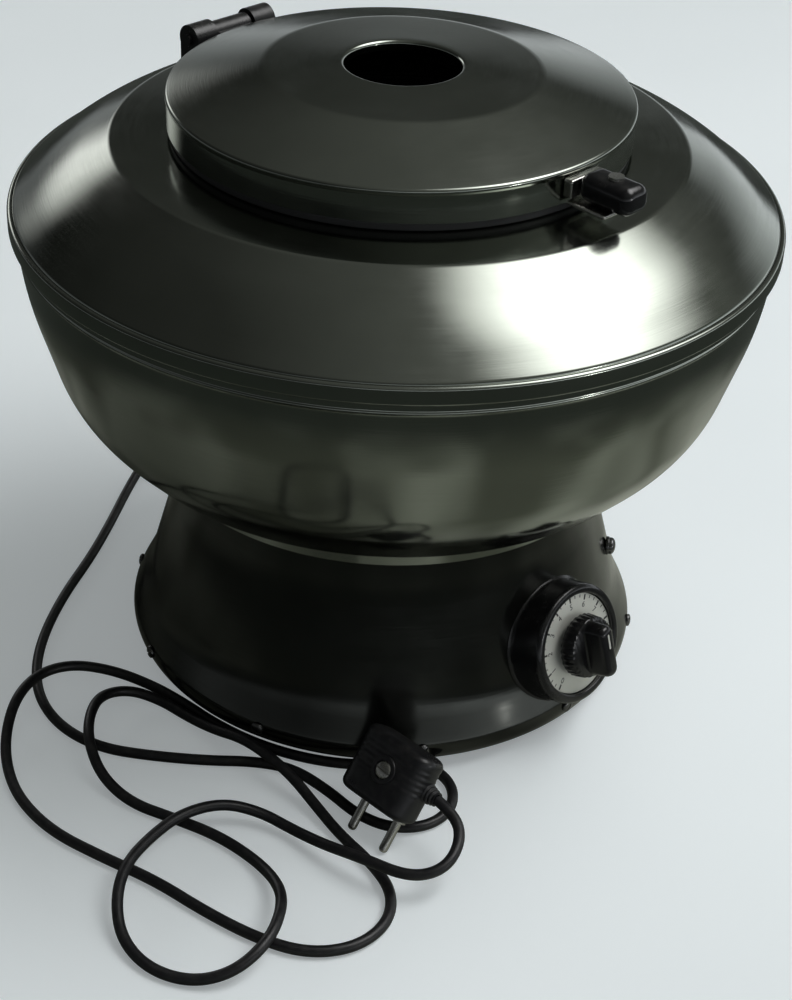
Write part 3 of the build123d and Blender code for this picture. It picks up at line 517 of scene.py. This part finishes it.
vertices, faces = [], []
for turn in range(POD_SEGMENTS):
    angle = 2 * math.pi * turn / POD_SEGMENTS
    across, rise = POD_R * math.cos(angle), POD_R * math.sin(angle)
    foot = wall_depth(across, rise)
    for flare, lift in ((1.3, 0.0), (0.5, 0.5), (0.1, 1.3), (0.0, 2.4)):
        vertices.append(pod_place @ Vector((across + flare * math.cos(angle), rise + flare * math.sin(angle),
                                            min(foot + lift, -2.6))))
    for radius, height in pod_profile:
        if radius > POD_R - 0.1:
            height = max(height, min(foot + 2.6, -2.5))
        vertices.append(pod_place @ Vector((radius * math.cos(angle), radius * math.sin(angle), height)))
ring = len(pod_profile) + 4
for turn in range(POD_SEGMENTS):
    here, there = turn * ring, (turn + 1) % POD_SEGMENTS * ring
    for index in range(ring - 1):
        faces.append((here + index, there + index, there + index + 1, here + index + 1))
wear(mesh_object("pod_shell", vertices, faces), "base", "pod_plastic", "knob_pod")

dial_profile = rounded([(4.5, 0), (DIAL_R, 0), (DIAL_R, 1.0), (4.5, 1.0)], [0.2, 0.3], 4)
dial_place = pod_place @ Matrix.Translation((0, 0, -DIAL_DEPTH))
wear(lathe("dial_disc", dial_profile, 96, True, dial_place), "base", "dial_aluminium", "dial_plate")


def dial_mark(angle, start, stop, width):
    """A thin printed bar along a radius of the dial; angle 0 points up, clockwise."""
    spin = Matrix.Rotation(-math.radians(angle), 4, "Z")
    ring_low = [(-width / 2, start, 1.0), (width / 2, start, 1.0), (width / 2, stop, 1.0), (-width / 2, stop, 1.0)]
    ring_high = [(x, y, 1.06) for x, y, _ in ring_low]
    return loft("mark", [ring_low, ring_high], dial_place @ spin)


DIAL_START, MARK_STEP, DIGIT_STEP = -135, 9, 27
marks = []
for step in range(31):
    start, width = (19.9, 0.9) if step % 3 == 0 else (21.0, 0.45)
    marks.append(dial_mark(DIAL_START + MARK_STEP * step, start, 22.4, width))
for step in range(11):
    angle = DIAL_START + DIGIT_STEP * step
    curve = bpy.data.curves.new("digit", "FONT")
    curve.body = str(step)
    curve.size = 3.8 * MM
    curve.extrude = 0.03 * MM
    curve.align_x = "CENTER"
    curve.align_y = "CENTER"
    text = scene_object("digit", curve)
    bpy.context.view_layer.update()
    data = bpy.data.meshes.new_from_object(text)
    bpy.data.objects.remove(text)
    spot = Matrix.Rotation(-math.radians(angle), 4, "Z") @ Matrix.Translation((0, 17.8, 1.03))
    data.transform(Matrix.Scale(1 / MM, 4))
    data.transform(dial_place @ spot)
    data.transform(Matrix.Scale(MM, 4))
    marks.append(scene_object("mark", data))
print_marks = merge("dial_marks", marks)
print_marks.data.materials.clear()
print_marks.data.materials.append(ink)
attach(print_marks, "base")

KNOB_START, KNOB_R, KNOB_LENGTH = 3.8, 14.5, 17.0
knob_place = dial_place @ Matrix.Translation((0, 0, KNOB_START))
skirt_rings = []
for height, shrink in ((0.0, 0.3), (0.4, 0.0), (5.6, 0.5), (6.6, 0.9), (7.0, 1.8)):
    ring_points = []
    for turn in range(180):
        angle = 2 * math.pi * turn / 180
        radius = KNOB_R - shrink - 0.35 * (0.5 - 0.5 * math.cos(30 * angle))
        ring_points.append((radius * math.cos(angle), radius * math.sin(angle), height))
    skirt_rings.append(ring_points)
skirt = loft("skirt", skirt_rings, knob_place)
wing_rings = []
for height, shrink in ((6.5, -1.0), (7.2, -0.3), (8.4, 0.0), (14.6, 0.5), (16.0, 1.1), (16.7, 2.0),
                       (KNOB_LENGTH, 3.2)):
    wing_rings.append(rectangle_ring(9.5 - 2 * shrink, 25.6 - 2 * shrink, 4.4 - min(shrink, 1.5), height))
wing = loft("wing", wing_rings, knob_place)
pointer = soft_block("pointer", 1.0, 7.0, 16.4, 17.1, 0.4, 0.1, knob_place @ Matrix.Translation((0, 5, 0)))
wear(merge("knob_wing", [skirt, wing]), "knob", "knob_plastic", "knob")
pointer.data.materials.append(materials["dial_aluminium"])
pointer.name = "knob_pointer"
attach(pointer, "knob")

# ---- lid handle ------------------------------------------------------------------------------
HANDLE_Z, HANDLE_TIP = RIM_Z - 5.5, 129
handle_place = axes_place((0, 0, HANDLE_Z), (1, 0, 0), (0, -1, 0))
handle_bar = soft_block("handle_bar", 15, 12, LID_R + 4.5, HANDLE_TIP, 5, 4.5, handle_place)
wear(handle_bar, "lid", "handle_plastic", "lid_handle")

bracket_place = handle_place @ Matrix.Translation((-1, -7.3, 0))
tongue = soft_block("tongue", 16, 1.8, LID_R + 1.2, LID_R + 20.9, 0.8, 0.8, bracket_place)
riser_place = handle_place @ Matrix.Translation((0, -1, 0))
riser = soft_block("riser", 20, 7.8, LID_R + 0.2, LID_R + 4.4, 1.2, 0.8, riser_place)
wear(merge("handle_strip", [tongue, riser]), "lid", "plated_steel", "handle_bracket")

# ---- mains cord and plug ------------------------------------------------------------------------
CORD_D, REST, OVER = 4.8, 2.6, 12.0
cord_points = [
    (23.3, 138, 24), (23.3, 150, 24), (18.5, 162.5, 21), (6, 171, 15.5), (-11, 172, 10), (-29, 163, 5.5),
    (-52, 148, REST), (-79, 130, REST), (-109, 113, REST), (-136, 93.5, REST), (-155, 74, REST),
    (-166.5, 54, REST), (-170.5, 32, REST), (-166, 10, REST), (-153, -9, REST), (-137, -28, REST),
    (-121.5, -43, REST), (-112, -58, REST), (-110.5, -79, REST), (-112, -99, REST),
    (-107, -115, REST), (-94.5, -125, REST), (-79, -124.5, REST), (-67.5, -114, REST),
    (-65.5, -99, REST), (-75.5, -86, REST), (-91, -74.5, REST), (-104, -56, REST),
    (-113, -34.5, REST), (-117.5, -12, REST), (-118.5, 10, REST), (-121, 29, REST),
    (-129.5, 47, 5.5), (-144, 59, 10), (-161, 62, OVER), (-179, 55, OVER), (-194, 43, 6),
    (-205, 27, REST), (-213, 6, REST), (-214.5, -19, REST), (-208.5, -45, REST),
    (-201, -71, REST), (-197.5, -98, REST), (-192, -123, REST), (-183, -143, REST),
    (-166.5, -154.5, REST), (-147.5, -154, REST), (-133.5, -142.5, REST), (-128, -124, REST),
    (-126, -103, REST), (-122.5, -84, 4.5), (-121, -68, 9), (-121.5, -54, OVER), (-122, -36, OVER),
    (-123, -17.5, 6), (-123.5, 1, REST), (-125.5, 17, 3.4), (-134, 29.5, 7), (-149, 31.5, 11),
    (-162, 23, OVER), (-173.5, 9, OVER), (-180, -8, 6.5), (-179, -27, REST),
    (-171.5, -47, REST), (-164.5, -68, REST), (-162.5, -90, REST), (-167.5, -110, 6.5),
    (-179, -125, OVER), (-195.5, -135, OVER), (-213, -134.5, 7), (-226, -124, REST),
    (-234, -107, REST), (-232.5, -88, 4), (-223, -73, 9), (-210, -63, OVER),
    (-193, -57.5, OVER), (-174, -55, OVER), (-156.5, -61.5, OVER), (-144.5, -73, 7),
    (-140, -89, 4.5), (-139, -107, 8), (-136, -126, OVER), (-129.5, -148, OVER),
    (-118, -156.5, 15), (-105, -153, 19), (-97.4, -143.4, 22.5),
]
PLUG_TILT = math.radians(52)
PLUG_W, PLUG_DEPTH, PLUG_LENGTH, SLEEVE_LENGTH, PLUG_SHIFT = 38.0, 19.0, 30.0, 5.0, -4.0
pin_way = Vector((-math.cos(PLUG_TILT), 0, -math.sin(PLUG_TILT)))
plug_place = axes_place((-109.6, -112.0, 13.4), (0, -1, 0), pin_way)
entry_place = axes_place(plug_place @ Vector((PLUG_W / 2 + PLUG_SHIFT, -2.5, -16)), pin_way, (0, -1, 0))
cord_points.append(tuple(entry_place @ Vector((0, 0, SLEEVE_LENGTH))))

curve = bpy.data.curves.new("mains_flex", "CURVE")
curve.dimensions = "3D"
curve.bevel_depth = CORD_D / 2 * MM
curve.bevel_resolution = 6
curve.resolution_u = 10
curve.use_fill_caps = True
spline = curve.splines.new("NURBS")
spline.points.add(len(cord_points) - 1)
for target, point in zip(spline.points, cord_points):
    target.co = (*(Vector(point) * MM), 1.0)
spline.order_u = 3
spline.use_endpoint_u = True
flex = scene_object("mains_flex", curve)
wear(flex, "base", "cord_sheath", "power_cord")


GRIP_LOW, GRIP_HIGH = -27, -11


def grip_grooves(height):
    """Grooves across the plug's sides, deeper towards the middle of the grip."""
    if not GRIP_LOW < height < GRIP_HIGH:
        return 0.0
    fade = min(1.0, (height - GRIP_LOW) / 3, (GRIP_HIGH - height) / 3)
    return 0.35 * fade * (0.5 - 0.5 * math.cos(2 * math.pi * height / 2.6))


plug_shell = soft_block("plug_shell", PLUG_W, PLUG_DEPTH, -PLUG_LENGTH, 0, 8, 3.2,
                        plug_place @ Matrix.Translation((PLUG_SHIFT, 0, 0)), grip_grooves)
sleeve_profile = [(0.0, -3.0)]
for step in range(61):
    height = -3 + (SLEEVE_LENGTH + 3) * step / 60
    groove = 0.5 * (0.5 - 0.5 * math.cos(2 * math.pi * height / 1.6)) if 0.2 < height < 4.8 else 0.0
    sleeve_profile.append((4.6 - 1.4 * max(height, 0) / SLEEVE_LENGTH - groove, height))
sleeve_profile.append((2.41, SLEEVE_LENGTH))
sleeve = lathe("sleeve", sleeve_profile, 40, False, entry_place)
boss_place = plug_place @ axes_place((-3, PLUG_DEPTH / 2 - 0.6, -16), (1, 0, 0), (0, 1, 0))
boss_profile = rounded([(4.2, 0), (6.2, 0), (6.2, 1.4), (4.2, 1.4)], [0.3, 0.5], 5)
boss = lathe("boss", boss_profile, 48, True, boss_place)
wear(merge("plug_moulding", [plug_shell, sleeve, boss]), "base", "plug_plastic", "plug_body")
wear(pan_head("plug_screw_head", 4.0, 1.8, 0.9, boss_place), "base", "plated_steel", "plug_screw")

pin_profile = densified(rounded([(0, -2), (2, -2), (2, 15.5), (0, 15.5)], [0.1, 1.6], 8), 2)
pin_collar = rounded([(1.9, -0.2), (3.4, -0.2), (3.4, 0.8), (1.9, 0.8)], [0.2, 0.4], 4)
pins = []
for side in (-9.5, 9.5):
    pin_place = plug_place @ Matrix.Translation((side, 0, 0))
    pins.append(lathe("pin", pin_profile, 32, False, pin_place))
    pins.append(lathe("pin", pin_collar, 32, True, pin_place))
wear(merge("plug_pin_pair", pins), "base", "plated_steel", "plug_pins")

gland_place = axes_place((23.3, 0, 24), (-1, 0, 0), (0, 1, 0))
GLAND_NECK_Y, GLAND_LENGTH = 120.5, 17.5
gland_profile = [(0.0, 110.0), (5.8, 110.0), (5.8, 115.0), (7.6, 118.5), (7.6, GLAND_NECK_Y)]
for step in range(61):
    height = GLAND_NECK_Y + GLAND_LENGTH * step / 60
    groove = 0.6 * (0.5 - 0.5 * math.cos(2 * math.pi * (height - GLAND_NECK_Y) / 2.9))
    gland_profile.append((7.6 - 4.0 * step / 60 - groove * (1 - step / 80), height))
gland_profile.append((2.41, GLAND_NECK_Y + GLAND_LENGTH))
wear(lathe("strain_relief", gland_profile, 48, False, gland_place), "base", "black_rubber", "cord_gland")

# ---- floor, light and camera -----------------------------------------------------------------
floor_data = bpy.data.meshes.new("floor")
floor_data.from_pydata([(-6, -6, 0), (6, -6, 0), (6, 6, 0), (-6, 6, 0)], [], [(0, 1, 2, 3)])
floor = scene_object("floor", floor_data)
# Painted reflection: the floor is pale to the eye, and painted darker and patchy where the steel reflects it (glossy
# rays only), darker still away from the centre.
floor_look = Shader("floor")
paths = floor_look.node("ShaderNodeLightPath")
pale = floor_look.mix(floor_look.spread(floor_look.noise(2.0, 3), 0, 1), (0.76, 0.81, 0.83), (0.82, 0.87, 0.89))
reach = floor_look.node("ShaderNodeVectorMath", operation="LENGTH")
floor_look.link(floor_look.place, reach.inputs[0])
# Painted reflection mask: the floor turns dark with distance from the centre, as the steel sees it.
far = floor_look.spread(reach.outputs["Value"], 0, 1, 0.25, 0.38)
patches = floor_look.spread(floor_look.noise(5.0, 2), 0, 1, 0.42, 0.58)
# Painted reflection colour: dim and mid patches that only glossy rays see.
painted_reflection_patches = floor_look.mix(patches, (0.20, 0.21, 0.17), (0.62, 0.64, 0.56))
painted_reflection_colour = floor_look.mix(far, painted_reflection_patches, (0.07, 0.08, 0.07))
seen = floor_look.mix(paths.outputs["Is Glossy Ray"], pale, painted_reflection_colour)
floor_look.link(seen, floor_look.surface.inputs["Base Color"])
floor_look.surface.inputs["Roughness"].default_value = 0.8
floor_look.link(pale, floor_look.surface.inputs["Emission Color"])
glow = floor_look.math("MULTIPLY", paths.outputs["Is Camera Ray"], 0.30)
floor_look.link(glow, floor_look.surface.inputs["Emission Strength"])
floor_look.surface.inputs["Specular IOR Level"].default_value = 0.1
floor_data.materials.append(floor_look.material)

CAMERA_TURN = math.radians(-46)
around = Matrix.Rotation(CAMERA_TURN, 4, "Z")


def feather(light):
    """Fades a softbox towards its edges, so that its reflection has no hard outline."""
    tree = light.node_tree
    emission = next(node for node in tree.nodes if node.type == "EMISSION")
    centred = tree.nodes.new("ShaderNodeMapping")
    centred.inputs["Location"].default_value = (-0.5, -0.5, 0)
    length = tree.nodes.new("ShaderNodeVectorMath")
    length.operation = "LENGTH"
    fade = tree.nodes.new("ShaderNodeMapRange")
    fade.interpolation_type = "SMOOTHSTEP"
    for socket, value in zip(fade.inputs[1:5], (0.08, 0.5, 1.9, 0.0)):
        socket.default_value = value
    panel = tree.nodes.new("ShaderNodeNewGeometry")
    tree.links.new(panel.outputs["Parametric"], centred.inputs["Vector"])
    tree.links.new(centred.outputs[0], length.inputs[0])
    tree.links.new(length.outputs["Value"], fade.inputs["Value"])
    tree.links.new(fade.outputs["Result"], emission.inputs["Strength"])


def softbox(name, direction, distance, size, power):
    """Feathered area light aimed at the bowl, its direction given in the camera's own level frame."""
    light = bpy.data.lights.new(name, "AREA")
    light.shape = "RECTANGLE"
    light.size, light.size_y = size
    light.energy = power
    light.use_nodes = True
    feather(light)
    holder = scene_object(name, light)
    aim = around @ Vector(direction).normalized()
    holder.location = Vector((0, 0, 0.2)) + aim * distance
    holder.rotation_mode = "QUATERNION"
    holder.rotation_quaternion = aim.to_track_quat("Z", "Y")


softbox("key", (0.52, 0.10, 0.85), 1.9, (2.6, 2.0), 44)
softbox("fill", (-0.55, 0.80, 0.30), 2.4, (1.6, 1.0), 5)
softbox("lamp", (0.80, -0.58, 0.10), 2.0, (0.2, 0.2), 2.5)

world = bpy.data.worlds.new("studio")
bpy.context.scene.world = world
world.use_nodes = True
background = world.node_tree.nodes["Background"]
coordinate = world.node_tree.nodes.new("ShaderNodeTexCoord")
split = world.node_tree.nodes.new("ShaderNodeSeparateXYZ")
ramp = world.node_tree.nodes.new("ShaderNodeValToRGB")
world.node_tree.links.new(coordinate.outputs["Generated"], split.inputs[0])
world.node_tree.links.new(split.outputs[2], ramp.inputs[0])
world.node_tree.links.new(ramp.outputs[0], background.inputs["Color"])
sideways = world.node_tree.nodes.new("ShaderNodeVectorMath")
sideways.operation = "DOT_PRODUCT"
sideways.inputs[1].default_value = (0.695, -0.719, 0.0)
world.node_tree.links.new(coordinate.outputs["Generated"], sideways.inputs[0])
brighten = world.node_tree.nodes.new("ShaderNodeMapRange")
for socket, value in zip(brighten.inputs[1:5], (-0.5, 0.8, 0.35, 2.2)):
    socket.default_value = value
world.node_tree.links.new(sideways.outputs["Value"], brighten.inputs["Value"])
world.node_tree.links.new(brighten.outputs["Result"], background.inputs["Strength"])
ramp.color_ramp.elements[0].position = 0.0
ramp.color_ramp.elements[0].color = (0.55, 0.58, 0.6, 1)
ramp.color_ramp.elements[1].position = 0.35
ramp.color_ramp.elements[1].color = (0.035, 0.038, 0.034, 1)
top = ramp.color_ramp.elements.new(0.8)
top.color = (0.13, 0.135, 0.125, 1)

pitch, yaw, roll = math.radians(33.63), math.radians(0.37), math.radians(2.565)
forward = Vector((math.sin(yaw) * math.cos(pitch), math.cos(yaw) * math.cos(pitch), -math.sin(pitch)))
right = Vector((math.cos(yaw), -math.sin(yaw), 0))
above = right.cross(forward)
camera_x = right * math.cos(roll) + above * math.sin(roll)
camera_y = above * math.cos(roll) - right * math.sin(roll)
stand = Matrix((camera_x, camera_y, -forward)).transposed().to_4x4()
camera = scene_object("camera", bpy.data.cameras.new("camera"))
camera.data.sensor_width = 36.0
camera.data.lens = 72.0
camera.matrix_world = around @ Matrix.Translation((0, -0.79395, 0.59562)) @ stand
camera.data.clip_start = 0.02
camera.data.clip_end = 20
bpy.context.scene.camera = camera
bpy.context.scene.view_settings.view_transform = "Standard"
